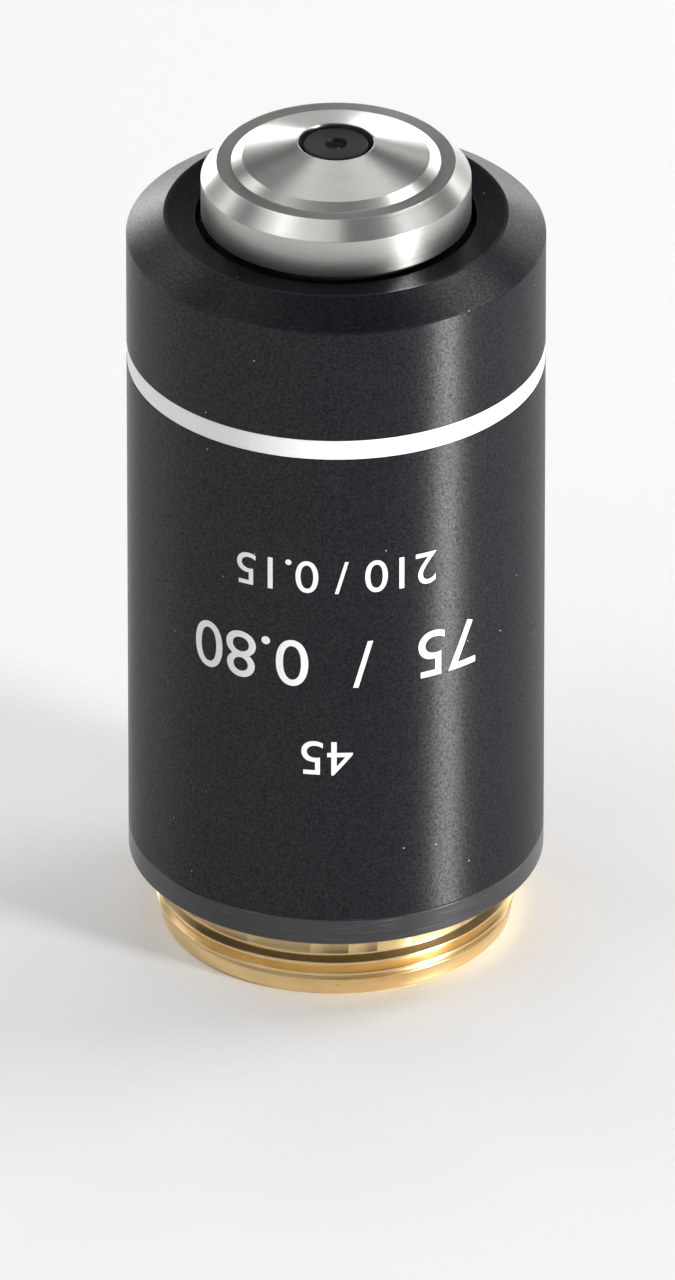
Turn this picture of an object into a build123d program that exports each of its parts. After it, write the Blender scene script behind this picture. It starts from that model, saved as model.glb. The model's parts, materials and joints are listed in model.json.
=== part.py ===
from build123d import *
import os
from math import copysign, sqrt

# A spring-loaded microscope objective, standing on the end of its screw with the nose up.
# Millimetres, origin at the centre of the screw's end face, +Z towards the nose.

# Mounting screw and shoulder
thread_diameter = 20.25
thread_pitch = 25.4 / 36
thread_length = 4.3
relief_length = 1.7
relief_slope = 0.23
lead_in_length = 0.95
lead_in_drop = 0.28
mount_wall = 1.55
mount_spigot_wall = 0.9
mount_spigot_length = 2.7
shoulder_width = 1.525
socket_countersink = 0.25

# Distances that the microscope sets
parfocal_distance = 45.0
working_distance = 0.1

# Housing and guide tube
flange_height = 1.64
flange_chamfer = 0.15
tube_wall = 2.07
tube_thread_length = 6.0
tube_relief = 0.3
spring_lip_thickness = 1.4
spring_lip_clearance = 0.25

# Outer sleeve
sleeve_wall = 1.0
sleeve_thread_clearance = 0.05
front_cone_width = 2.08
front_cone_rise = 1.25
countersink_width = 1.77
countersink_depth = 0.15
nose_lip_thickness = 1.6
band_below_crest = 8.0
band_height = 1.2
band_groove_depth = 0.2
band_paint_depth = 0.17
edge_break = 0.08

# Nose cap
cap_clearance = 0.3
cap_skirt = 2.25
cap_chamfer_width = 0.86
cap_chamfer_rise = 0.96
cap_ring_width = 0.82
cap_bevel_width = 0.62
cap_bevel_rise = 0.32
cap_cone_rise = 0.92
cap_hole_radius = 2.1
cap_wall = 0.7
cap_front_wall = 0.9
cap_seat_gap = 0.1

# Front cell and front lens
cell_face_recess = 0.12
cell_face_radius = 1.8
cell_cap_gap = 0.2
cell_flange_thickness = 0.7
cell_flange_inset = 0.3
aperture_radius = 0.58
aperture_countersink = 0.08
aperture_lip = 0.15
front_lens_radius = 1.0
front_lens_belt = 0.15
front_pocket_depth = 0.83
front_flare_land = 1.2

# Lens barrel
neck_overhang = 0.3
barrel_spigot_wall = 0.83
tail_wall = 1.2
tail_gap = 0.4
barrel_land_clearance = 0.2
guide_clearance = 0.03
seat_clearance = 0.02

# Spring-loaded travel
nose_travel = 2.2
travel_reserve = 0.1
spring_length = 13.6
spring_wire = 0.8
spring_turns = 6
spring_end_gap = 0.04

# Anti-rotation screw, in a slot of the barrel
guide_screw_diameter = 2.0
guide_dog_diameter = 1.4
guide_slot_depth = 0.9
guide_slot_play = 0.05
guide_dog_gap = 0.15
screw_driver_slot = 0.35

# Parfocal rings
parfocal_ring_thickness = 2.2
lock_ring_thickness = 1.4
ring_rim_gap = 0.4
notch_count = 4
notch_width = 1.6
notch_depth = 0.9

# Lens stack, from the nose to the rear. A fill is a lens's share of its cell's radius. A bulge is
# how far a surface falls back from its vertex to its clear edge, negative where it is hollow to the nose.
lens_land = 0.3
cell_lip = 0.7
cell_floor = 0.7
cell_glue_groove = 0.25
meniscus_collar_height = 0.6
meniscus_collar_wall = 0.6
meniscus_collar_lip = 0.15
meniscus_fill = 0.355
meniscus_front_bulge = -0.45
meniscus_rear_bulge = -0.69
meniscus_thickness = 1.5
front_doublet_fill = 0.49
front_doublet_front_bulge = 0.43
front_doublet_cement_bulge = -0.8
front_doublet_rear_bulge = -0.26
front_doublet_crown_thickness = 2.6
front_doublet_flint_thickness = 1.0
front_spacer_length = 1.2
triplet_fill = 0.575
triplet_outer_bulge = 0.38
triplet_cement_bulge = 0.95
triplet_flint_thickness = 0.9
triplet_crown_thickness = 3.4
centring_play = 0.2
centring_screw_diameter = 1.6
centring_screw_count = 3
stop_thickness = 0.4
stop_radius = 2.4
middle_spacer_length = 2.4
rear_doublet_fill = 0.475
rear_doublet_front_bulge = 0.55
rear_doublet_cement_bulge = -0.35
rear_doublet_rear_bulge = 0.74
rear_doublet_crown_thickness = 2.2
rear_doublet_flint_thickness = 1.2
rear_spacer_length = 1.2
rear_lens_fill = 0.42
rear_lens_front_bulge = -0.75
rear_lens_rear_bulge = -0.49
rear_lens_thickness = 1.8
spacer_wall = 1.0
retaining_ring_thickness = 1.6
retaining_ring_recess = 1.0
retaining_ring_wall = 1.4
retaining_slot_width = 1.2
retaining_slot_depth = 0.8

# Radii, from the outside in
thread_radius = thread_diameter / 2
root_radius = thread_radius - 0.64 * thread_pitch
body_radius = thread_radius + shoulder_width
mount_bore_radius = thread_radius - mount_wall
mount_spigot_radius = mount_bore_radius + mount_spigot_wall
socket_radius = mount_spigot_radius + seat_clearance
sleeve_bore_radius = body_radius - sleeve_wall
tube_radius = sleeve_bore_radius - sleeve_thread_clearance
guide_bore_radius = tube_radius - tube_wall
land_radius = guide_bore_radius - guide_clearance
crest_radius = body_radius - front_cone_width
opening_radius = crest_radius - countersink_width
cap_radius = opening_radius - cap_clearance
cap_bore_radius = cap_radius - cap_wall
neck_radius = cap_radius - neck_overhang
spigot_radius = cap_bore_radius - seat_clearance
barrel_bore_radius = spigot_radius - barrel_spigot_wall
tail_radius = barrel_bore_radius + tail_wall
ring_thread_radius = (neck_radius + land_radius) / 2
cell_radius = barrel_bore_radius - seat_clearance
centred_cell_radius = cell_radius - centring_play
flare_radius = cell_radius - front_flare_land
spacer_bore = cell_radius - spacer_wall
meniscus_edge = meniscus_fill * cell_radius
front_doublet_edge = front_doublet_fill * cell_radius
triplet_edge = triplet_fill * centred_cell_radius
rear_doublet_edge = rear_doublet_fill * cell_radius
rear_lens_edge = rear_lens_fill * cell_radius
spring_radius = (tail_radius + guide_bore_radius) / 2

# Heights along the axis
shoulder_z = thread_length
joint_z = shoulder_z + flange_height
tip_z = shoulder_z + parfocal_distance - working_distance
cone_foot_z = tip_z - cap_cone_rise
ring_z = cone_foot_z - cap_bevel_rise
cap_face_z = ring_z - cap_chamfer_rise
crest_z = cap_face_z - cap_skirt
barrel_top_z = cap_face_z - cell_flange_thickness
neck_top_z = crest_z - cap_seat_gap
lip_top_z = crest_z - countersink_depth
stop_z = lip_top_z - nose_lip_thickness
ring_thread_top_z = stop_z - barrel_land_clearance
land_top_z = stop_z - parfocal_ring_thickness - lock_ring_thickness
tube_top_z = land_top_z - nose_travel - travel_reserve
spigot_top_z = shoulder_z + mount_spigot_length
spring_seat_z = spigot_top_z + spring_lip_thickness
spring_top_z = spring_seat_z + spring_length
tail_end_z = spring_seat_z + tail_gap
retaining_ring_z = tail_end_z + retaining_ring_recess
guide_screw_z = (spring_top_z + tube_top_z) / 2
cell_face_z = tip_z - cell_face_recess
front_lens_z = cell_face_z - aperture_lip

# Cylinders that start at their own origin instead of being centred on it
ALONG = (Align.CENTER, Align.CENTER, Align.MIN)


def turned(*corners):
    """A piece turned about the axis, from the (radius, height) corners of its half section."""
    section = make_face(Polyline(*[(radius, 0, z) for radius, z in corners], close=True))
    return revolve(section, Axis.Z)


def ring(inner, outer, bottom, top):
    """A plain ring."""
    return turned((inner, bottom), (outer, bottom), (outer, top), (inner, top))


def around(piece, count, start=0.0):
    """Copies of a piece, evenly turned about the axis."""
    return [Rot(0, 0, start + 360 / count * index) * piece for index in range(count)]


def outward(shape):
    """A shape built along +Z, laid so that it points outwards along +Y."""
    return Rot(-90, 0, 0) * shape


def surface(z, bulge, clear):
    """The half section of a spherical surface, from its vertex out to its clear radius."""
    radius = (clear**2 + bulge**2) / (2 * bulge)
    middle = clear / 2
    fall = radius - copysign(sqrt(radius**2 - middle**2), radius)
    return ThreePointArc((0, 0, z), (middle, 0, z - fall), (clear, 0, z - bulge))


def lens_element(front_z, front_bulge, rear_z, rear_bulge, edge_radius):
    """A lens between two spherical surfaces, with a flat land round each and a ground edge."""
    clear = edge_radius - lens_land
    front = surface(front_z, front_bulge, clear)
    rear = surface(rear_z, rear_bulge, clear)
    edge = Polyline(
        front @ 1,
        (edge_radius, 0, front_z - front_bulge),
        (edge_radius, 0, rear_z - rear_bulge),
        rear @ 1,
    )
    axis_line = Line(rear @ 0, front @ 0)
    section = make_face([*front.edges(), *edge.edges(), *rear.edges(), *axis_line.edges()])
    return revolve(section, Axis.Z)


def cemented(front_land_z, edge_radius, bulges, thicknesses):
    """Lens elements cemented in a row, and the height of the last one's rear land."""
    z = front_land_z + bulges[0]
    elements = []
    for index, thickness in enumerate(thicknesses):
        elements.append(lens_element(z, bulges[index], z - thickness, bulges[index + 1], edge_radius))
        z -= thickness
    return elements, z - bulges[-1]


def lens_cell(top_z, seat_z, edge_radius, outer_radius):
    """A turned cell: the lens drops in from the front onto its seat, with a groove for cement outside."""
    pocket = edge_radius + seat_clearance
    bottom_z = seat_z - cell_floor
    groove = outer_radius - cell_glue_groove
    groove_top = top_z - cell_lip
    return turned(
        (edge_radius - lens_land, bottom_z),
        (outer_radius, bottom_z),
        (outer_radius, seat_z),
        (groove, seat_z),
        (groove, groove_top),
        (outer_radius, groove_top),
        (outer_radius, top_z),
        (pocket, top_z),
        (pocket, seat_z),
        (edge_radius - lens_land, seat_z),
    )


def set_screw(diameter, inner, outer):
    """A headless screw that points at the axis, with its driver slot outside."""
    radius = diameter / 2
    length = outer - inner
    body = Pos(0, 0, inner + length / 2) * Cylinder(radius, length)
    slot = Pos(0, 0, outer) * Box(diameter, screw_driver_slot, 2 * screw_driver_slot)
    return outward(body - slot)


def mount_thread():
    """The brass screw over its crests: lead-in, thread, relief and the spigot inside the flange."""
    lead_in = thread_radius - lead_in_drop
    relief_z = shoulder_z - relief_length
    return turned(
        (mount_bore_radius + flange_chamfer, 0),
        (lead_in - flange_chamfer, 0),
        (lead_in, flange_chamfer),
        (lead_in, lead_in_length),
        (thread_radius, lead_in_length + lead_in_drop),
        (thread_radius, relief_z - relief_slope),
        (root_radius, relief_z),
        (root_radius, shoulder_z),
        (mount_spigot_radius, shoulder_z),
        (mount_spigot_radius, spigot_top_z),
        (mount_bore_radius, spigot_top_z),
        (mount_bore_radius, flange_chamfer),
    )


def flange_housing():
    """Flange and guide tube in one piece, with the inward lip that carries the spring."""
    mouth = thread_radius + seat_clearance
    lip_bore = tail_radius + spring_lip_clearance
    relief = tube_radius - tube_relief
    thread_top_z = joint_z + tube_thread_length
    body = turned(
        (socket_radius, shoulder_z + socket_countersink),
        (mouth, shoulder_z),
        (body_radius - flange_chamfer, shoulder_z),
        (body_radius, shoulder_z + flange_chamfer),
        (body_radius, joint_z - edge_break),
        (body_radius - edge_break, joint_z),
        (tube_radius, joint_z),
        (tube_radius, thread_top_z),
        (relief, thread_top_z + tube_relief),
        (relief, tube_top_z),
        (guide_bore_radius, tube_top_z),
        (guide_bore_radius, spring_seat_z),
        (lip_bore, spring_seat_z),
        (lip_bore, spigot_top_z),
        (socket_radius, spigot_top_z),
    )
    hole = Cylinder(guide_screw_diameter / 2 + seat_clearance, body_radius, align=ALONG)
    return body - Pos(0, 0, guide_screw_z) * outward(hole)


def outer_sleeve():
    """Sleeve with a conical front, a shallow countersink and the lip that holds the barrel in."""
    rim_z = crest_z - front_cone_rise
    band_top = crest_z - band_below_crest
    groove = body_radius - band_groove_depth
    return turned(
        (sleeve_bore_radius, joint_z),
        (body_radius - edge_break, joint_z),
        (body_radius, joint_z + edge_break),
        (body_radius, band_top - band_height),
        (groove, band_top - band_height),
        (groove, band_top),
        (body_radius, band_top),
        (body_radius, rim_z),
        (crest_radius, crest_z),
        (opening_radius, lip_top_z),
        (opening_radius, stop_z),
        (sleeve_bore_radius, stop_z),
    )


def colour_band():
    """Paint in the sleeve's groove, a little below flush."""
    floor = body_radius - band_groove_depth
    top = crest_z - band_below_crest
    return ring(floor, floor + band_paint_depth, top - band_height, top)


def coil_spring():
    """Compression spring with closed end turns, ground flat where they meet the lip and the shoulder."""
    end_pitch = spring_wire + spring_end_gap
    middle_length = spring_length - 2 * end_pitch
    pieces = []
    z = spring_seat_z
    for height, pitch in (
        (end_pitch, end_pitch),
        (middle_length, middle_length / spring_turns),
        (end_pitch, end_pitch),
    ):
        wire = Pos(spring_radius, 0, z) * Rot(90, 0, 0) * Circle(spring_wire / 2)
        coil = Pos(0, 0, z) * Helix(pitch, height, spring_radius)
        pieces.append(sweep(wire, path=coil, is_frenet=True))
        z += height
    spring = pieces[0] + pieces[1] + pieces[2]
    slab = Pos(0, 0, spring_seat_z) * Cylinder(guide_bore_radius, spring_length, align=ALONG)
    return spring & slab


def guide_screw():
    """Dog-point screw through the guide tube; its dog runs in the barrel's slot."""
    shank = set_screw(guide_screw_diameter, guide_bore_radius, tube_radius - tube_relief)
    floor = land_radius - guide_slot_depth + guide_dog_gap
    dog = Cylinder(guide_dog_diameter / 2, guide_bore_radius - floor, align=ALONG)
    return Pos(0, 0, guide_screw_z) * (shank + outward(Pos(0, 0, floor) * dog))


def inner_barrel():
    """The sliding barrel: tail inside the spring, guided land, ring thread, neck and cap spigot."""
    body = turned(
        (barrel_bore_radius, tail_end_z),
        (tail_radius, tail_end_z),
        (tail_radius, spring_top_z),
        (land_radius, spring_top_z),
        (land_radius, land_top_z),
        (ring_thread_radius, land_top_z),
        (ring_thread_radius, ring_thread_top_z),
        (neck_radius, ring_thread_top_z),
        (neck_radius, neck_top_z),
        (spigot_radius, neck_top_z),
        (spigot_radius, barrel_top_z),
        (barrel_bore_radius, barrel_top_z),
    )
    slot_width = guide_dog_diameter + 2 * guide_slot_play
    slot_length = nose_travel + slot_width + 2 * travel_reserve
    slot = extrude(SlotOverall(slot_length, slot_width, rotation=90), 2 * guide_slot_depth)
    slot_z = guide_screw_z + nose_travel / 2
    body -= Pos(0, 0, slot_z) * outward(Pos(0, 0, land_radius - guide_slot_depth) * slot)
    hole = Cylinder(centring_screw_diameter / 2 + seat_clearance, land_radius, align=ALONG)
    for cutter in around(outward(hole), centring_screw_count, 180):
        body -= Pos(0, 0, centring_screw_z) * cutter
    return body


def notched_ring(bottom, top):
    """A ring on the barrel's thread, with notches in its rim for a hook spanner."""
    outer = sleeve_bore_radius - ring_rim_gap
    body = ring(ring_thread_radius + seat_clearance, outer, bottom, top)
    middle = Pos(outer, 0, (bottom + top) / 2)
    notch = middle * Box(2 * notch_depth, notch_width, top - bottom)
    for cutter in around(notch, notch_count):
        body -= cutter
    return body


def nose_cap():
    """Steel cap: skirt, chamfer, flat ring, bevel and shallow cone round the front cell's hole."""
    chamfer_top = cap_radius - cap_chamfer_width
    ring_inner = chamfer_top - cap_ring_width
    cone_foot = ring_inner - cap_bevel_width
    return turned(
        (cap_bore_radius, crest_z),
        (cap_radius - edge_break, crest_z),
        (cap_radius, crest_z + edge_break),
        (cap_radius, cap_face_z),
        (chamfer_top, ring_z),
        (ring_inner, ring_z),
        (cone_foot, cone_foot_z),
        (cap_hole_radius, tip_z),
        (cap_hole_radius, tip_z - cap_front_wall),
        (cone_foot, cone_foot_z - cap_front_wall),
        (cone_foot, cap_face_z),
        (cap_bore_radius, cap_face_z),
    )


def front_lens_cell():
    """Black cell clamped between cap and barrel, with the countersunk aperture in its face."""
    cone_foot = cap_radius - cap_chamfer_width - cap_ring_width - cap_bevel_width
    slope = cap_cone_rise / (cone_foot - cap_hole_radius)
    shank = cone_foot - cell_cap_gap
    inside_z = cone_foot_z - cap_front_wall - cell_cap_gap
    pocket = front_lens_radius + seat_clearance
    return turned(
        (aperture_radius + aperture_countersink, cell_face_z),
        (cell_face_radius, cell_face_z),
        (cell_face_radius, inside_z + slope * (cone_foot - cell_face_radius)),
        (shank, inside_z + slope * (cone_foot - shank)),
        (shank, cap_face_z),
        (cap_bore_radius - cell_flange_inset, cap_face_z),
        (cap_bore_radius - cell_flange_inset, barrel_top_z),
        (flare_radius, barrel_top_z),
        (pocket, front_lens_z - front_pocket_depth),
        (pocket, front_lens_z),
        (aperture_radius, front_lens_z),
    )


def front_lens():
    """Hemisphere with its flat face to the aperture."""
    belt_z = front_lens_z - front_lens_belt
    bulge = surface(belt_z - front_lens_radius, -front_lens_radius, front_lens_radius)
    sides = Polyline(
        bulge @ 1,
        (front_lens_radius, 0, front_lens_z),
        (0, 0, front_lens_z),
        bulge @ 0,
    )
    return revolve(make_face([*bulge.edges(), *sides.edges()]), Axis.Z)


def meniscus_cell(seat_z):
    """First cell of the stack; a thin collar lifts its lens into the front cell's flare."""
    collar = meniscus_edge + meniscus_collar_wall
    pocket = meniscus_edge + seat_clearance
    clear = meniscus_edge - lens_land
    bottom_z = seat_z - cell_floor
    top_z = barrel_top_z + meniscus_collar_height
    return turned(
        (clear, bottom_z),
        (cell_radius, bottom_z),
        (cell_radius, barrel_top_z),
        (collar, barrel_top_z),
        (collar, top_z),
        (pocket, top_z),
        (pocket, seat_z),
        (clear, seat_z),
    )


def centring_screws():
    """Set screws through the barrel that push the triplet cell into line."""
    screw = set_screw(centring_screw_diameter, centred_cell_radius, land_radius - travel_reserve)
    return [Pos(0, 0, centring_screw_z) * copy for copy in around(screw, centring_screw_count, 180)]


def stack_retaining_ring():
    """Slotted ring in the rear of the barrel, turned with a pin spanner."""
    inner = barrel_bore_radius - retaining_ring_wall
    body = ring(inner, cell_radius, retaining_ring_z, retaining_ring_z + retaining_ring_thickness)
    slot = Box(2 * cell_radius, retaining_slot_width, 2 * retaining_slot_depth)
    return body - Pos(0, 0, retaining_ring_z) * slot


# The stack is worked out from the nose to the rear: each cell starts where the last piece ends.
meniscus_land_z = barrel_top_z + meniscus_collar_height - meniscus_collar_lip
meniscus, meniscus_seat_z = cemented(
    meniscus_land_z,
    meniscus_edge,
    [meniscus_front_bulge, meniscus_rear_bulge],
    [meniscus_thickness],
)
front_doublet_top_z = meniscus_seat_z - cell_floor
front_doublet, front_doublet_seat_z = cemented(
    front_doublet_top_z - cell_lip,
    front_doublet_edge,
    [front_doublet_front_bulge, front_doublet_cement_bulge, front_doublet_rear_bulge],
    [front_doublet_crown_thickness, front_doublet_flint_thickness],
)
front_spacer_top_z = front_doublet_seat_z - cell_floor
triplet_top_z = front_spacer_top_z - front_spacer_length
triplet, triplet_seat_z = cemented(
    triplet_top_z - cell_lip,
    triplet_edge,
    [triplet_outer_bulge, triplet_cement_bulge, -triplet_cement_bulge, -triplet_outer_bulge],
    [triplet_flint_thickness, triplet_crown_thickness, triplet_flint_thickness],
)
centring_screw_z = (triplet_top_z + triplet_seat_z) / 2
stop_top_z = triplet_seat_z - cell_floor
middle_spacer_top_z = stop_top_z - stop_thickness
rear_doublet_top_z = middle_spacer_top_z - middle_spacer_length
rear_doublet, rear_doublet_seat_z = cemented(
    rear_doublet_top_z - cell_lip,
    rear_doublet_edge,
    [rear_doublet_front_bulge, rear_doublet_cement_bulge, rear_doublet_rear_bulge],
    [rear_doublet_crown_thickness, rear_doublet_flint_thickness],
)
rear_spacer_top_z = rear_doublet_seat_z - cell_floor
rear_lens_top_z = rear_spacer_top_z - rear_spacer_length
rear_lens, rear_lens_seat_z = cemented(
    rear_lens_top_z - cell_lip,
    rear_lens_edge,
    [rear_lens_front_bulge, rear_lens_rear_bulge],
    [rear_lens_thickness],
)
clamp_tube_top_z = rear_lens_seat_z - cell_floor
clamp_tube_bottom_z = retaining_ring_z + retaining_ring_thickness

parts = {
    "mount_thread": mount_thread(),
    "flange_housing": flange_housing(),
    "outer_sleeve": outer_sleeve(),
    "colour_band": colour_band(),
    "coil_spring": coil_spring(),
    "guide_screw": guide_screw(),
    "inner_barrel": inner_barrel(),
    "parfocal_ring": notched_ring(stop_z - parfocal_ring_thickness, stop_z),
    "parfocal_lock_ring": notched_ring(land_top_z, land_top_z + lock_ring_thickness),
    "nose_cap": nose_cap(),
    "front_lens_cell": front_lens_cell(),
    "front_lens": front_lens(),
    "meniscus_cell": meniscus_cell(meniscus_seat_z),
    "meniscus_lens": meniscus[0],
    "front_doublet_cell": lens_cell(
        front_doublet_top_z, front_doublet_seat_z, front_doublet_edge, cell_radius
    ),
    "front_doublet_crown": front_doublet[0],
    "front_doublet_flint": front_doublet[1],
    "front_spacer": ring(spacer_bore, cell_radius, triplet_top_z, front_spacer_top_z),
    "triplet_cell": lens_cell(triplet_top_z, triplet_seat_z, triplet_edge, centred_cell_radius),
    "triplet_front_flint": triplet[0],
    "triplet_crown": triplet[1],
    "triplet_rear_flint": triplet[2],
    "centring_screws": Compound(children=centring_screws()),
    "aperture_stop": ring(stop_radius, cell_radius, middle_spacer_top_z, stop_top_z),
    "middle_spacer": ring(spacer_bore, cell_radius, rear_doublet_top_z, middle_spacer_top_z),
    "rear_doublet_cell": lens_cell(
        rear_doublet_top_z, rear_doublet_seat_z, rear_doublet_edge, cell_radius
    ),
    "rear_doublet_crown": rear_doublet[0],
    "rear_doublet_flint": rear_doublet[1],
    "rear_spacer": ring(spacer_bore, cell_radius, rear_lens_top_z, rear_spacer_top_z),
    "rear_lens_cell": lens_cell(rear_lens_top_z, rear_lens_seat_z, rear_lens_edge, cell_radius),
    "rear_lens": rear_lens[0],
    "clamp_tube": ring(spacer_bore, cell_radius, clamp_tube_bottom_z, clamp_tube_top_z),
    "stack_retaining_ring": stack_retaining_ring(),
}

os.makedirs("parts", exist_ok=True)
for node, shape in parts.items():
    export_step(shape, f"parts/{node}.step")
    print(node, round(shape.volume, 3))
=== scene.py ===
import json
import math

import bmesh
import bpy
import numpy as np
from mathutils import Matrix, Vector


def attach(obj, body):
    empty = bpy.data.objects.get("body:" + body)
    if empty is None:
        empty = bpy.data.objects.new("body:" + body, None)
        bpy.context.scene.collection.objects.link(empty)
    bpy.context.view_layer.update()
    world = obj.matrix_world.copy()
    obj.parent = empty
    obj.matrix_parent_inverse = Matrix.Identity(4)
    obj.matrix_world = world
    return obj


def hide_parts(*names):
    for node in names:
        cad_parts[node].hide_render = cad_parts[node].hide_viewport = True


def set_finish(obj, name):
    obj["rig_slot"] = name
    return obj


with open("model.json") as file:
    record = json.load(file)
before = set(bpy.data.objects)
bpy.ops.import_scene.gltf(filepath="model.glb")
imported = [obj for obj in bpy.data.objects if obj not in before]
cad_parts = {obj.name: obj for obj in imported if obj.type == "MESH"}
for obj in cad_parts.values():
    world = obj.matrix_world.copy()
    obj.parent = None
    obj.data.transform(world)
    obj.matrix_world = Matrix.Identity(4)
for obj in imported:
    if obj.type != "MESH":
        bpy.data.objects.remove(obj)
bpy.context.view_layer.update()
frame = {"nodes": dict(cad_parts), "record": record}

# Lengths are written in millimetres and scaled to metres when a mesh is made.
MM = 0.001

# Facets round a turned piece and along a rounded edge, and the support line beside each rounding
SEGMENTS = 512
SCREW_SEGMENTS = 480
ARC_STEPS = 5
ARC_SUPPORT = 0.03

# Clearance between pieces that lie against each other
CLEARANCE = 0.02

# Screw end
BODY = 11.65
THREAD_CREST = 10.125
PITCH = 25.4 / 36
THREAD_DEPTH = 0.6403 * PITCH
THREAD_ROOT = THREAD_CREST - THREAD_DEPTH
CREST_ROUNDING = 0.1373 * PITCH
FLANK = math.radians(27.5)
LEAD_IN = 9.845
MOUNT_BORE = 8.575
MOUNT_SPIGOT = 9.475
MOUNT_CHAMFER = 0.15
THREAD_FROM = 0.93
THREAD_TO = 2.62
THREAD_FADE = 0.35
FRONT_CREST_Z = 1.49
SHOULDER = 4.3
SPIGOT_TOP = 7.0

# Housing
JOINT = 5.94
FLANGE_CHAMFER = 0.15
JOINT_CHAMFER = 0.08
SOCKET_COUNTERSINK = 0.25
SPRING_SEAT = 8.4
SEAT_BORE = 7.4
TUBE = 10.6
TUBE_RELIEF = 10.3
TUBE_STEP = (6.0, 6.3)
GUIDE_BORE = 8.53
GUIDE_SCREW_Z = 29.55
GUIDE_SCREW_HOLE = 1.02
TUBE_TOP = 37.1
SLEEVE_BORE = 10.65
BAND = (35.55, 36.75)
GROOVE = 11.45
RIM = 43.5
CREST = (9.57, 44.75)
OPENING = (7.8, 44.6)
STOP = 43.0
PRINT_THICKNESS = 0.012

# Nose
CAP = 7.5
CAP_BORE = 6.8
CAP_FACE = 47.0
CAP_CHAMFER = 6.64
RING = (5.82, 47.96)
CONE_FOOT = (5.2, 48.28)
HOLE = 2.1
TIP = 49.2
CAP_WALL = 0.9

# Front cell, behind the cap's cone
CELL_FACE = 49.08
CELL_FACE_RADIUS = 1.8
APERTURE = (0.66, 0.58)
APERTURE_DEPTH = 0.15
LENS_SEAT = (1.02, 0.98)
CELL_SKIRT = 5.0
CELL_RIM = 6.5
CELL_FOOT = (4.73, 46.3)
CONE_TO_CELL = 1.1


# ---------------------------------------------------------------- shapes

def place(mesh, name, body, slot, *nodes):
    """Makes a mesh an object that rides on a body and stands for CAD nodes."""
    piece = bpy.data.objects.new(name, mesh)
    bpy.context.scene.collection.objects.link(piece)
    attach(piece, body)
    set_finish(piece, slot)
    if nodes:
        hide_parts(*nodes)
    return piece


def mesh_of(name, points, faces):
    """A smooth mesh from points in millimetres."""
    mesh = bpy.data.meshes.new(name)
    mesh.from_pydata([tuple(p) for p in np.asarray(points) * MM], [], faces)
    mesh.polygons.foreach_set("use_smooth", [True] * len(mesh.polygons))
    mesh.update()
    return mesh


def rounded(corners, closed=True):
    """A half section whose corners (radius, z, rounding) become fine arcs between support points."""
    points = []
    count = len(corners)
    for index, (r, z, rounding) in enumerate(corners):
        here = np.array([r, z], float)
        if not closed and index in (0, count - 1):
            points.append(here)
            continue
        before = np.array(corners[index - 1][:2], float)
        after = np.array(corners[(index + 1) % count][:2], float)
        into, out = here - before, after - here
        length_in, length_out = np.linalg.norm(into), np.linalg.norm(out)
        into, out = into / length_in, out / length_out
        turn = math.atan2(into[0] * out[1] - into[1] * out[0], float(into @ out))
        reach = min(rounding * abs(math.tan(turn / 2)), 0.4 * length_in, 0.4 * length_out)
        extra = min(ARC_SUPPORT, 0.2 * length_in, 0.2 * length_out)
        points.append(here - into * (reach + extra))
        start = here - into * reach
        radius = reach / abs(math.tan(turn / 2))
        side = np.array([-into[1], into[0]]) * math.copysign(1, turn)
        centre = start + side * radius
        for step in range(ARC_STEPS + 1):
            angle = turn * step / ARC_STEPS
            spoke = start - centre
            c, s = math.cos(angle), math.sin(angle)
            points.append(centre + np.array([spoke[0] * c - spoke[1] * s, spoke[0] * s + spoke[1] * c]))
        points.append(here + out * (reach + extra))
    return np.array(points)


def turned_grid(section, segments):
    """The points of a half section turned about Z, ring by ring."""
    angles = np.arange(segments) * math.tau / segments
    r, z = section[:, 0][:, None], section[:, 1][:, None]
    x, y = r * np.cos(angles), r * np.sin(angles)
    return np.stack([x, y, np.broadcast_to(z, x.shape)], -1).reshape(-1, 3)


def ring_faces(rows, segments, closed):
    """The quads between neighbouring rings of a turned grid."""
    faces = []
    for row in range(rows if closed else rows - 1):
        low, high = row * segments, (row + 1) % rows * segments
        for k in range(segments):
            n = (k + 1) % segments
            faces.append((low + k, low + n, high + n, high + k))
    return faces


def lathe(name, corners):
    """A turned solid. The section runs anticlockwise, seen with radius to the right and z up."""
    section = rounded(corners)
    return mesh_of(name, turned_grid(section, SEGMENTS), ring_faces(len(section), SEGMENTS, True))


def weld(mesh, distance=1e-7):
    """Joins points that lie on each other, and drops the faces that have no area then."""
    shape = bmesh.new()
    shape.from_mesh(mesh)
    bmesh.ops.remove_doubles(shape, verts=shape.verts, dist=distance)
    bmesh.ops.dissolve_degenerate(shape, edges=shape.edges, dist=distance)
    bmesh.ops.recalc_face_normals(shape, faces=shape.faces)
    shape.to_mesh(mesh)
    shape.free()
    return mesh


def thread_radius(phase):
    """Radius of the 55 degree thread at a share of its pitch from the middle of the root."""
    off = abs(phase - 0.5) * PITCH
    far = PITCH / 2 - off
    arc = CREST_ROUNDING * math.cos(FLANK)
    if off <= arc:
        return THREAD_CREST - CREST_ROUNDING + math.sqrt(CREST_ROUNDING**2 - off**2)
    if far <= arc:
        return THREAD_ROOT + CREST_ROUNDING - math.sqrt(CREST_ROUNDING**2 - far**2)
    edge = THREAD_CREST - CREST_ROUNDING * (1 - math.sin(FLANK))
    return edge - (off - arc) / math.tan(FLANK)


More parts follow.
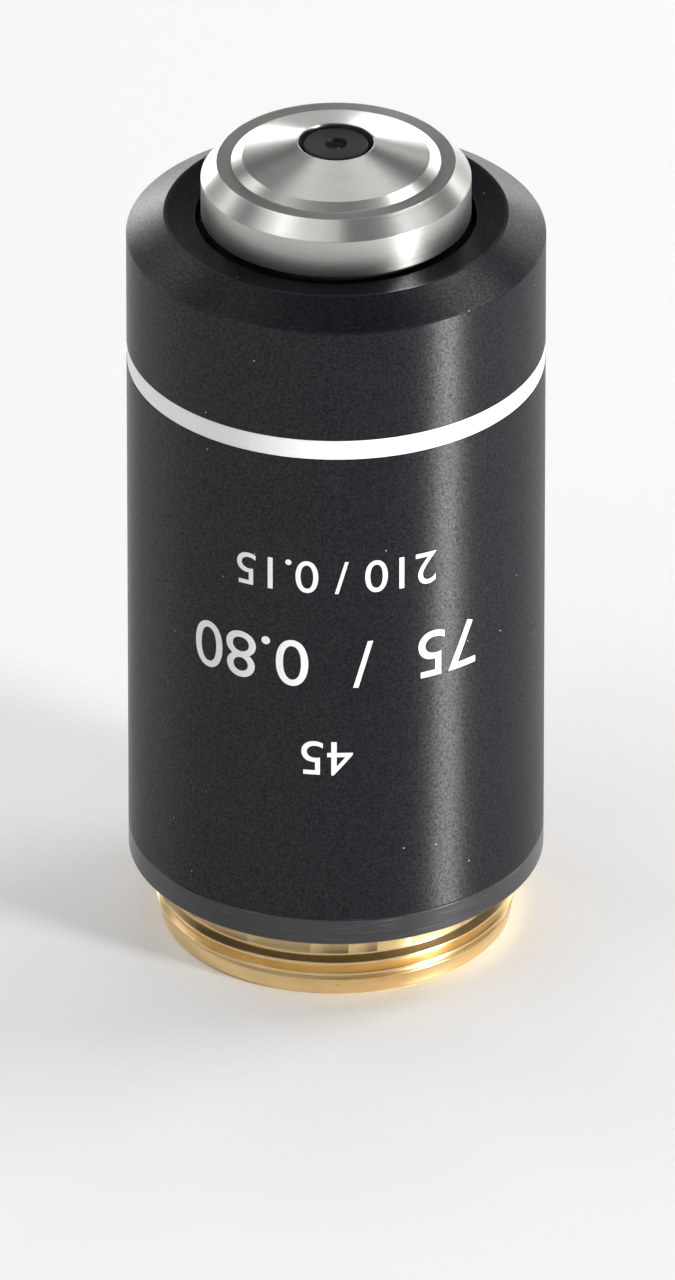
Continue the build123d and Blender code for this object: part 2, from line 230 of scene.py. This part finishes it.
def screw_mesh():
    """The brass screw: a turned body and, between lead-in and relief, one true helical thread."""
    segments = SCREW_SEGMENTS
    bottom, top = THREAD_FROM, THREAD_TO
    # The camera's side is three quarters of a turn round; a crest stands at FRONT_CREST_Z there.
    front = 0.75
    lead = (FRONT_CREST_Z - bottom) / PITCH - 0.5 - front
    body = rounded(
        [
            (THREAD_ROOT, top, 0),
            (THREAD_ROOT, SHOULDER, 0.05),
            (MOUNT_SPIGOT, SHOULDER, 0.05),
            (MOUNT_SPIGOT, SPIGOT_TOP, 0.1),
            (MOUNT_BORE, SPIGOT_TOP, 0.1),
            (MOUNT_BORE, MOUNT_CHAMFER, 0.06),
            (MOUNT_BORE + MOUNT_CHAMFER, 0, 0.06),
            (LEAD_IN - MOUNT_CHAMFER, 0, 0.08),
            (LEAD_IN, MOUNT_CHAMFER, 0.08),
            (LEAD_IN, bottom, 0),
        ],
        closed=False,
    )
    points = list(turned_grid(body, segments))
    faces = ring_faces(len(body), segments, False)
    even = np.linspace(0, 1, 17)
    near_crest = np.linspace(0.38, 0.62, 9)
    near_root = [0.03, 0.09, 0.91, 0.97]
    phases = np.unique(np.concatenate([even, near_crest, near_root]))[:-1]
    turns = math.ceil((top - bottom) / PITCH) + 2
    rows = [(turn - 1 + phase, thread_radius(phase)) for turn in range(turns) for phase in phases]
    start = len(points)
    for k in range(segments + 1):
        angle = k * math.tau / segments
        for share, radius in rows:
            z = min(max(bottom + PITCH * (share + lead + angle / math.tau), bottom), top)
            if z in (bottom, top):
                radius = LEAD_IN if z == bottom else THREAD_ROOT
            least = LEAD_IN - (LEAD_IN - THREAD_ROOT) * min(1, (z - bottom) / THREAD_FADE)
            radius = max(radius, least)
            radius = min(radius, LEAD_IN + (z - bottom), THREAD_ROOT + (top - z) * 2)
            points.append((radius * math.cos(angle), radius * math.sin(angle), z))
    count = len(rows)
    for k in range(segments):
        for row in range(count - 1):
            a = start + k * count + row
            faces.append((a, a + count, a + count + 1, a + 1))
    return weld(mesh_of("screw", points, faces), 2e-7)


def cut(piece, cutter):
    """Takes the cutter's solid out of a piece, and removes the cutter."""
    modifier = piece.modifiers.new("cut", "BOOLEAN")
    modifier.object = cutter
    modifier.operation = "DIFFERENCE"
    modifier.solver = "EXACT"
    bpy.context.view_layer.update()
    evaluated = piece.evaluated_get(bpy.context.evaluated_depsgraph_get())
    mesh = bpy.data.meshes.new_from_object(evaluated)
    piece.modifiers.clear()
    piece.data = mesh
    bpy.data.objects.remove(cutter)


def printed(name, text, size, z, angle):
    """Plain numbers as a thin layer of paint, bent round the sleeve, upside down as the tube stands."""
    curve = bpy.data.curves.new(name, "FONT")
    curve.body = text
    curve.size = size
    curve.align_x = "CENTER"
    curve.extrude = PRINT_THICKNESS
    curve.resolution_u = 8
    flat = bpy.data.objects.new(name, curve)
    bpy.context.scene.collection.objects.link(flat)
    bpy.context.view_layer.update()
    mesh = bpy.data.meshes.new_from_object(flat.evaluated_get(bpy.context.evaluated_depsgraph_get()))
    bpy.data.objects.remove(flat)
    shape = bmesh.new()
    shape.from_mesh(mesh)
    width = max(v.co.x for v in shape.verts)
    strip = 0.2
    for x in np.arange(-width, width, strip):
        everything = shape.verts[:] + shape.edges[:] + shape.faces[:]
        bmesh.ops.bisect_plane(shape, geom=everything, plane_co=(x, 0, 0), plane_no=(1, 0, 0))
    middle = size * 0.35
    for v in shape.verts:
        around = angle - v.co.x / BODY
        radius = BODY + v.co.z
        height = z - (v.co.y - middle)
        v.co = Vector((radius * math.sin(around), -radius * math.cos(around), height)) * MM
    bmesh.ops.remove_doubles(shape, verts=shape.verts, dist=1e-8)
    bmesh.ops.recalc_face_normals(shape, faces=shape.faces)
    shape.to_mesh(mesh)
    shape.free()
    return place(mesh, name, "housing", "band_white")


# ---------------------------------------------------------------- materials

class Finish:
    """A material whose nodes work in the piece's own millimetres."""

    def __init__(self, name, **sockets):
        self.material = bpy.data.materials.new(name)
        self.material.use_nodes = True
        self.tree = self.material.node_tree
        self.shader = self.tree.nodes["Principled BSDF"]
        self.set(**sockets)
        coordinates = self.node("ShaderNodeTexCoord").outputs["Object"]
        scaled = self.node("ShaderNodeVectorMath", {0: coordinates, "Scale": 1 / MM}, operation="SCALE")
        self.place = scaled.outputs[0]
        apart = self.node("ShaderNodeSeparateXYZ", {0: self.place})
        x, y, self.z = apart.outputs
        flat = self.node("ShaderNodeCombineXYZ", {0: x, 1: y}).outputs[0]
        self.radius = self.node("ShaderNodeVectorMath", {0: flat}, operation="LENGTH").outputs["Value"]
        self.spoke = self.node("ShaderNodeVectorMath", {0: flat}, operation="NORMALIZE").outputs[0]

    def node(self, kind, inputs=None, **settings):
        made = self.tree.nodes.new(kind)
        for key, value in settings.items():
            setattr(made, key, value)
        for key, value in (inputs or {}).items():
            if isinstance(value, bpy.types.NodeSocket):
                self.tree.links.new(value, made.inputs[key])
            else:
                made.inputs[key].default_value = value
        return made

    def set(self, **sockets):
        """Sets or links the shader's sockets; underscores stand for spaces."""
        for key, value in sockets.items():
            socket = self.shader.inputs[key.replace("_", " ")]
            if isinstance(value, bpy.types.NodeSocket):
                self.tree.links.new(value, socket)
            else:
                socket.default_value = value
        return self

    def math(self, operation, a, b):
        return self.node("ShaderNodeMath", {0: a, 1: b}, operation=operation).outputs[0]

    def noise(self, scale, detail=2.0, vector=None, w=None, roughness=0.5):
        """Noise whose grains are 1 / scale millimetres wide."""
        inputs = {"Vector": vector or self.place, "Scale": scale, "Detail": detail, "Roughness": roughness}
        if w is None:
            return self.node("ShaderNodeTexNoise", inputs).outputs["Fac"]
        inputs["W"] = w
        return self.node("ShaderNodeTexNoise", inputs, noise_dimensions="4D").outputs["Fac"]

    def turning(self, fine, along, detail=3.0, roughness=0.6):
        """Noise drawn out round the axis: `fine` marks per millimetre, `along` changes round the piece."""
        spoke = self.node("ShaderNodeVectorMath", {0: self.spoke, "Scale": along}, operation="SCALE")
        rise = self.node("ShaderNodeCombineXYZ", {2: self.math("MULTIPLY", self.z, fine)}).outputs[0]
        vector = self.node("ShaderNodeVectorMath", {0: spoke.outputs[0], 1: rise}, operation="ADD").outputs[0]
        return self.noise(1.0, detail, vector, self.math("MULTIPLY", self.radius, fine), roughness)

    def blend(self, share, a, b):
        made = self.node("ShaderNodeMix", {"Factor": share}, data_type="RGBA")
        for socket, value in zip([s for s in made.inputs if s.type == "RGBA"], (a, b)):
            if isinstance(value, bpy.types.NodeSocket):
                self.tree.links.new(value, socket)
            else:
                socket.default_value = (*value, 1)
        return next(s for s in made.outputs if s.type == "RGBA")

    def range(self, value, low, high, start=0.0, end=1.0):
        made = self.node("ShaderNodeMapRange", {"Value": value, "From Min": low, "From Max": high})
        made.inputs["To Min"].default_value = start
        made.inputs["To Max"].default_value = end
        return made.outputs["Result"]

    def specks(self, scale, size, share):
        """1 inside sparse round specks, `size` of a cell wide, in a share of the cells."""
        cells = self.node("ShaderNodeTexVoronoi", {"Vector": self.place, "Scale": scale})
        inside = self.range(cells.outputs["Distance"], size, size * 0.6)
        chosen = self.node("ShaderNodeSeparateXYZ", {0: cells.outputs["Color"]}).outputs[0]
        return self.math("MULTIPLY", inside, self.math("LESS_THAN", chosen, share))

    def bump(self, height, depth, below=None):
        """A bump of `depth` millimetres over another bump."""
        inputs = {"Height": height, "Distance": depth * MM, "Strength": 1.0}
        if below:
            inputs["Normal"] = below
        return self.node("ShaderNodeBump", inputs).outputs[0]

    def round_tangent(self):
        """Turns the shader's anisotropy to run round the axis, as turning marks do."""
        tangent = self.node("ShaderNodeTangent", direction_type="RADIAL", axis="Z").outputs[0]
        return self.set(Tangent=tangent, Anisotropic_Rotation=0.25)


def anodised():
    """Blasted black anodising; the front cone is turned smooth, and the mouth round the nose has a lower
    specular level as painted shade, where the nose shades it.
    """
    f = Finish("anodised_black").round_tangent()
    blasted = f.range(f.z, RIM + 0.1, RIM, 0.0, 1.0)
    grain = f.noise(12.0, 2.0)
    fleck = f.noise(6.0, 1.0)
    cloud = f.noise(0.25, 3.0)
    dark = f.blend(f.range(fleck, 0.3, 0.7), (0.0005, 0.0007, 0.0015), (0.005, 0.0065, 0.010))
    dark = f.blend(f.range(cloud, 0.3, 0.7, 0, 0.25), dark, (0.008, 0.009, 0.010))
    dust = f.specks(1.1, 0.055, 0.16)
    sparkle = f.range(f.noise(7.0, 2.0, roughness=0.7), 0.32, 0.68, 0.20, 0.60)
    # Painted shade: inside the mouth round the nose the specular level falls to a quarter, for the shade that
    # the nose casts there.
    painted_shade_mouth = f.range(f.radius, CREST[0] - 0.25, CREST[0] - 0.05, 0.25, 1.0)
    sheen_and_painted_shade = f.math("MULTIPLY", painted_shade_mouth, f.range(blasted, 0, 1, 0.55, 1))
    rough = f.range(grain, 0.25, 0.75, 0.36, 0.50)
    f.set(
        Specular_IOR_Level=f.math("MULTIPLY", sparkle, sheen_and_painted_shade),
        Anisotropic=f.range(blasted, 0, 1, 0.3, 0.95),
        Base_Color=f.blend(f.math("MULTIPLY", dust, 0.7), dark, (0.75, 0.76, 0.76)),
        Roughness=f.math("MULTIPLY", rough, f.range(blasted, 0, 1, 0.8, 1)),
        Normal=f.bump(grain, 0.0009, f.bump(fleck, 0.0010)),
    )
    return f.material


def turned_black():
    f = Finish("turned_black", Anisotropic=0.7, Specular_IOR_Level=0.6).round_tangent()
    marks = f.turning(9.0, 1.5)
    scratches = f.range(f.turning(22.0, 5.0, 1.0), 0.62, 0.74)
    grain = f.noise(12.0)
    dark = f.blend(marks, (0.012, 0.012, 0.014), (0.026, 0.026, 0.029))
    dark = f.blend(f.math("MULTIPLY", scratches, 0.35), dark, (0.20, 0.20, 0.21))
    dust = f.specks(1.3, 0.05, 0.12)
    f.set(
        Base_Color=f.blend(f.math("MULTIPLY", dust, 0.6), dark, (0.7, 0.7, 0.7)),
        Roughness=f.range(marks, 0.3, 0.7, 0.26, 0.34),
        Normal=f.bump(marks, 0.003, f.bump(grain, 0.001)),
    )
    return f.material


def steel():
    f = Finish("stainless_steel", Metallic=1.0, Anisotropic=0.7).round_tangent()
    fine = f.turning(16.0, 1.0)
    broad = f.turning(2.2, 2.5, 2.0)
    grain = f.noise(15.0, 1.0)
    bright = f.blend(broad, (0.58, 0.57, 0.545), (0.66, 0.65, 0.63))
    f.set(
        Base_Color=f.blend(f.range(grain, 0.35, 0.75, 0, 0.12), bright, (0.40, 0.39, 0.37)),
        Roughness=f.range(fine, 0.3, 0.7, 0.27, 0.31),
        Normal=f.bump(fine, 0.0003, f.bump(grain, 0.0003)),
    )
    return f.material


def brass():
    f = Finish("turned_brass", Metallic=1.0, Anisotropic=0.7).round_tangent()
    fine = f.turning(14.0, 1.2)
    broad = f.turning(3.0, 3.0, 2.0)
    warm = f.blend(broad, (0.80, 0.57, 0.27), (0.90, 0.70, 0.39))
    tarnish = f.specks(2.2, 0.12, 0.25)
    cloud = f.range(f.noise(0.6, 3.0), 0.45, 0.75, 0, 0.35)
    warm = f.blend(cloud, warm, (0.68, 0.46, 0.20))
    f.set(
        Base_Color=f.blend(f.math("MULTIPLY", tarnish, 0.6), warm, (0.22, 0.11, 0.04)),
        Roughness=f.range(fine, 0.3, 0.7, 0.27, 0.34),
        Normal=f.bump(fine, 0.0006),
    )
    return f.material


def paint():
    f = Finish("white_paint", Specular_IOR_Level=0.45)
    mottle = f.noise(3.0, 3.0)
    grain = f.noise(16.0)
    white = f.blend(mottle, (0.79, 0.80, 0.81), (0.87, 0.875, 0.88))
    pits = f.specks(2.0, 0.08, 0.12)
    f.set(
        Base_Color=f.blend(f.math("MULTIPLY", pits, 0.5), white, (0.35, 0.36, 0.38)),
        Roughness=f.range(grain, 0.3, 0.7, 0.42, 0.56),
        Normal=f.bump(grain, 0.0025),
    )
    return f.material


def blackened():
    f = Finish("blackened_brass", Anisotropic=0.3, Specular_IOR_Level=0.3).round_tangent()
    marks = f.turning(10.0, 1.5)
    grain = f.noise(18.0, 2.0)
    dark = f.blend(grain, (0.003, 0.003, 0.004), (0.014, 0.014, 0.017))
    dark = f.blend(f.range(marks, 0.6, 0.85, 0, 0.3), dark, (0.05, 0.048, 0.045))
    f.set(
        Base_Color=dark,
        Roughness=f.range(grain, 0.3, 0.7, 0.40, 0.60),
        Normal=f.bump(grain, 0.0025, f.bump(marks, 0.002)),
    )
    return f.material


def plain_steel(name, low, high, fine, rough):
    """Steel of screws and spring: drawn or turned marks, with a trace of oil."""
    f = Finish(name, Metallic=1.0, Coat_Weight=0.15, Coat_Roughness=0.3)
    marks = f.noise(fine, 3.0)
    oil = f.noise(1.2, 2.0)
    tone = f.blend(marks, (low,) * 3, (high,) * 3)
    f.set(
        Base_Color=f.blend(f.range(oil, 0.5, 0.8, 0, 0.4), tone, (0.20, 0.17, 0.13)),
        Roughness=f.range(marks, 0.3, 0.7, rough - 0.06, rough + 0.08),
        Normal=f.bump(marks, 0.002),
    )
    return f.material


def glass(name, ior, tint):
    """Polished glass, coated against reflections, with the faintest dust."""
    f = Finish(name, Transmission_Weight=1.0, IOR=ior, Specular_IOR_Level=0.12, Coat_Weight=0.04)
    dust = f.noise(6.0, 3.0)
    f.set(
        Base_Color=f.blend(f.range(dust, 0.55, 0.8, 0, 0.3), tint, (0.80, 0.82, 0.80)),
        Roughness=f.range(dust, 0.55, 0.8, 0.0, 0.06),
    )
    return f.material


finishes = {
    "sleeve_black": anodised(),
    "flange_black": turned_black(),
    "band_white": paint(),
    "screw_brass": brass(),
    "cap_steel": steel(),
    "cell_black": blackened(),
    "screw_steel": plain_steel("oiled_steel", 0.30, 0.46, 9.0, 0.34),
    "spring_steel": plain_steel("spring_wire", 0.42, 0.58, 12.0, 0.28),
    "crown_glass": glass("crown_glass", 1.52, (0.93, 0.97, 0.96)),
    "flint_glass": glass("flint_glass", 1.64, (0.96, 0.96, 0.90)),
}

for row in frame["record"]["subparts"]:
    mesh = frame["nodes"][row["node"]].data
    mesh.materials.clear()
    mesh.materials.append(finishes[row["material_slot"]])


# ---------------------------------------------------------------- pieces

def dressed(piece):
    """Gives a new piece the finish of its slot."""
    piece.data.materials.clear()
    piece.data.materials.append(finishes[piece["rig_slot"]])
    return piece


sleeve = lathe(
    "sleeve",
    [
        (SLEEVE_BORE, JOINT, 0.05),
        (BODY, JOINT, 0.07),
        (BODY, BAND[0], 0.03),
        (GROOVE, BAND[0], 0.02),
        (GROOVE, BAND[1], 0.02),
        (BODY, BAND[1], 0.03),
        (BODY, RIM, 0.08),
        (CREST[0], CREST[1], 0.08),
        (OPENING[0], OPENING[1], 0.10),
        (OPENING[0], STOP, 0.05),
        (SLEEVE_BORE, STOP, 0.1),
    ],
)
dressed(place(sleeve, "sleeve", "housing", "sleeve_black", "outer_sleeve"))

paint_face = BODY - 0.03
band = lathe(
    "paint_band",
    [
        (GROOVE, BAND[0], 0.01),
        (paint_face, BAND[0], 0.04),
        (paint_face, BAND[1], 0.04),
        (GROOVE, BAND[1], 0.01),
    ],
)
dressed(place(band, "paint_band", "housing", "band_white", "colour_band"))

flange = lathe(
    "flange",
    [
        (THREAD_CREST + CLEARANCE, SHOULDER, 0.04),
        (BODY - FLANGE_CHAMFER, SHOULDER, 0.05),
        (BODY, SHOULDER + FLANGE_CHAMFER, 0.05),
        (BODY, JOINT - JOINT_CHAMFER, 0.04),
        (BODY - JOINT_CHAMFER, JOINT, 0.04),
        (TUBE, JOINT, 0.05),
        (TUBE, JOINT + TUBE_STEP[0], 0.05),
        (TUBE_RELIEF, JOINT + TUBE_STEP[1], 0.05),
        (TUBE_RELIEF, TUBE_TOP, 0.1),
        (GUIDE_BORE, TUBE_TOP, 0.1),
        (GUIDE_BORE, SPRING_SEAT, 0.05),
        (SEAT_BORE, SPRING_SEAT, 0.05),
        (SEAT_BORE, SPIGOT_TOP, 0.05),
        (MOUNT_SPIGOT + CLEARANCE, SPIGOT_TOP, 0.05),
        (MOUNT_SPIGOT + CLEARANCE, SHOULDER + SOCKET_COUNTERSINK, 0.05),
    ],
)
flange = place(flange, "flange", "housing", "flange_black", "flange_housing")

# The guide screw's hole, through the tube's wall on the side away from the camera
drill_radius, drill_depth, drill_middle = GUIDE_SCREW_HOLE * MM, 8 * MM, 9.5 * MM
shape = bmesh.new()
bmesh.ops.create_cone(
    shape, cap_ends=True, segments=64, radius1=drill_radius, radius2=drill_radius, depth=drill_depth
)
drill_mesh = bpy.data.meshes.new("drill")
shape.to_mesh(drill_mesh)
shape.free()
drill = bpy.data.objects.new("drill", drill_mesh)
across = Matrix.Rotation(math.pi / 2, 4, "X")
drill.matrix_world = Matrix.Translation((0, drill_middle, GUIDE_SCREW_Z * MM)) @ across
bpy.context.scene.collection.objects.link(drill)
cut(flange, drill)
dressed(flange)

dressed(place(screw_mesh(), "screw", "housing", "screw_brass", "mount_thread"))

cap = lathe(
    "cap",
    [
        (CAP_BORE, CREST[1], 0.05),
        (CAP, CREST[1], 0.07),
        (CAP, CAP_FACE, 0.05),
        (CAP_CHAMFER, RING[1], 0.05),
        (RING[0], RING[1], 0.05),
        (CONE_FOOT[0], CONE_FOOT[1], 0.06),
        (HOLE, TIP, 0.05),
        (HOLE, TIP - CAP_WALL, 0.04),
        (CONE_FOOT[0], CONE_FOOT[1] - CAP_WALL, 0.05),
        (CONE_FOOT[0], CAP_FACE, 0.05),
        (CAP_BORE, CAP_FACE, 0.05),
    ],
)
dressed(place(cap, "cap", "lens_unit", "cap_steel", "nose_cap"))

# The cell has a cone of its own, which runs under the cap's at the same slope.
slope = (TIP - CONE_FOOT[1]) / (CONE_FOOT[0] - HOLE)
inside = CONE_FOOT[1] - CONE_TO_CELL
front_cell = lathe(
    "front_cell",
    [
        (APERTURE[0], CELL_FACE, 0.02),
        (APERTURE[1], CELL_FACE - APERTURE_DEPTH, 0.02),
        (LENS_SEAT[0], CELL_FACE - APERTURE_DEPTH, 0.02),
        (LENS_SEAT[0], CELL_FACE - LENS_SEAT[1], 0.02),
        (CELL_FOOT[0], CELL_FOOT[1], 0.02),
        (CELL_RIM, CELL_FOOT[1], 0.04),
        (CELL_RIM, CAP_FACE, 0.04),
        (CELL_SKIRT, CAP_FACE, 0.04),
        (CELL_SKIRT, inside + slope * (CONE_FOOT[0] - CELL_SKIRT), 0.04),
        (CELL_FACE_RADIUS, inside + slope * (CONE_FOOT[0] - CELL_FACE_RADIUS), 0.04),
        (CELL_FACE_RADIUS, CELL_FACE, 0.12),
    ],
)
weld(front_cell)
dressed(place(front_cell, "front_cell", "lens_unit", "cell_black", "front_lens_cell"))

# Plain numbers: name, text, letter size, height of the row, turn round the sleeve
for name, text, size, z, angle in (
    ("numbers_wide", "75  /  0.80", 4.2, 22.4, 0.0),
    ("numbers_upper", "210 / 0.15", 2.9, 28.0, 0.0),
    ("numbers_lower", "45", 3.1, 16.4, -0.05),
):
    dressed(printed(name, text, size, z, angle))


# ---------------------------------------------------------------- studio

def paper():
    f = Finish("floor_paper", Roughness=0.7, Specular_IOR_Level=0.2)
    bright = 0.97
    dull = bright * 0.985
    return f.set(Base_Color=f.blend(f.noise(0.02, 2.0), (dull,) * 3, (bright,) * 3)).material


reach = 6.0
corners = [(-reach, -reach, 0), (reach, -reach, 0), (reach, reach, 0), (-reach, reach, 0)]
floor_mesh = bpy.data.meshes.new("floor")
floor_mesh.from_pydata(corners, [], [(0, 1, 2, 3)])
floor_mesh.materials.append(paper())
floor = bpy.data.objects.new("floor", floor_mesh)
bpy.context.scene.collection.objects.link(floor)


LAMP_TARGET_Z = 0.035


def lamp(name, azimuth, elevation, distance, width, height, radiance):
    """A soft panel that faces the object. Azimuth 0 is the camera's side, positive to its right."""
    light = bpy.data.lights.new(name, "AREA")
    light.shape = "RECTANGLE"
    light.size, light.size_y = width, height
    light.energy = radiance * math.pi * width * height
    a, e = math.radians(azimuth), math.radians(elevation)
    away = Vector((math.sin(a) * math.cos(e), -math.cos(a) * math.cos(e), math.sin(e)))
    made = bpy.data.objects.new(name, light)
    made.location = Vector((0, 0, LAMP_TARGET_Z)) + away * distance
    made.rotation_mode = "QUATERNION"
    made.rotation_quaternion = away.to_track_quat("Z", "Y")
    bpy.context.scene.collection.objects.link(made)


lamp("front_left", -34, 41, 0.8, 0.50, 0.36, 0.6)
lamp("top_front", -25, 62, 0.8, 0.46, 0.20, 1.5)
lamp("window_left", -75, 55, 0.8, 0.40, 0.26, 2.8)
lamp("top_back", 180, 60, 0.8, 0.40, 0.24, 1.25)
lamp("key_right", 112, 52, 0.8, 0.30, 0.24, 6.5)
lamp("back_right", 142, 20, 0.8, 0.42, 0.22, 2.6)
lamp("back_left", -122, 36, 0.8, 0.32, 0.30, 2.6)
lamp("strip_right", 59, 5.5, 0.7, 0.13, 0.12, 140.0)
lamp("rim_right", 168, 7, 0.9, 0.30, 0.16, 7.0)
lamp("rim_left", -156, 7, 0.9, 0.50, 0.16, 9.0)

# The world is bright near the horizon and dark above, with a paler ring high up.
world = bpy.data.worlds.new("studio")
bpy.context.scene.world = world
world.use_nodes = True
tree = world.node_tree
direction = tree.nodes.new("ShaderNodeTexCoord").outputs["Generated"]
apart = tree.nodes.new("ShaderNodeSeparateXYZ")
tree.links.new(direction, apart.inputs[0])
sky = tree.nodes.new("ShaderNodeValToRGB")
tree.links.new(apart.outputs[2], sky.inputs[0])
stops = ((0.0, 0.70), (0.12, 0.60), (0.34, 0.14), (0.62, 0.10), (0.86, 0.30), (1.0, 0.08))
while len(sky.color_ramp.elements) < len(stops):
    sky.color_ramp.elements.new(0.5)
for element, (position, grey) in zip(sky.color_ramp.elements, stops):
    element.position = position
    element.color = (grey, grey, grey, 1)
tree.links.new(sky.outputs["Color"], tree.nodes["Background"].inputs["Color"])

# The photograph's camera: far away, about 30 degrees above the floor.
ELEVATION = math.radians(30.3)
DISTANCE = 1.5
LENS = 754.4
target = Vector((0.08, 0, 17.25)) * MM
away = Vector((0, -math.cos(ELEVATION), math.sin(ELEVATION)))
camera_data = bpy.data.cameras.new("camera")
camera_data.lens = LENS
camera_data.clip_start, camera_data.clip_end = 0.1, 50
camera = bpy.data.objects.new("camera", camera_data)
camera.location = target + away * DISTANCE
camera.rotation_mode = "QUATERNION"
camera.rotation_quaternion = away.to_track_quat("Z", "Y")
bpy.context.scene.collection.objects.link(camera)
bpy.context.scene.camera = camera

bpy.context.scene.view_settings.view_transform = "Standard"
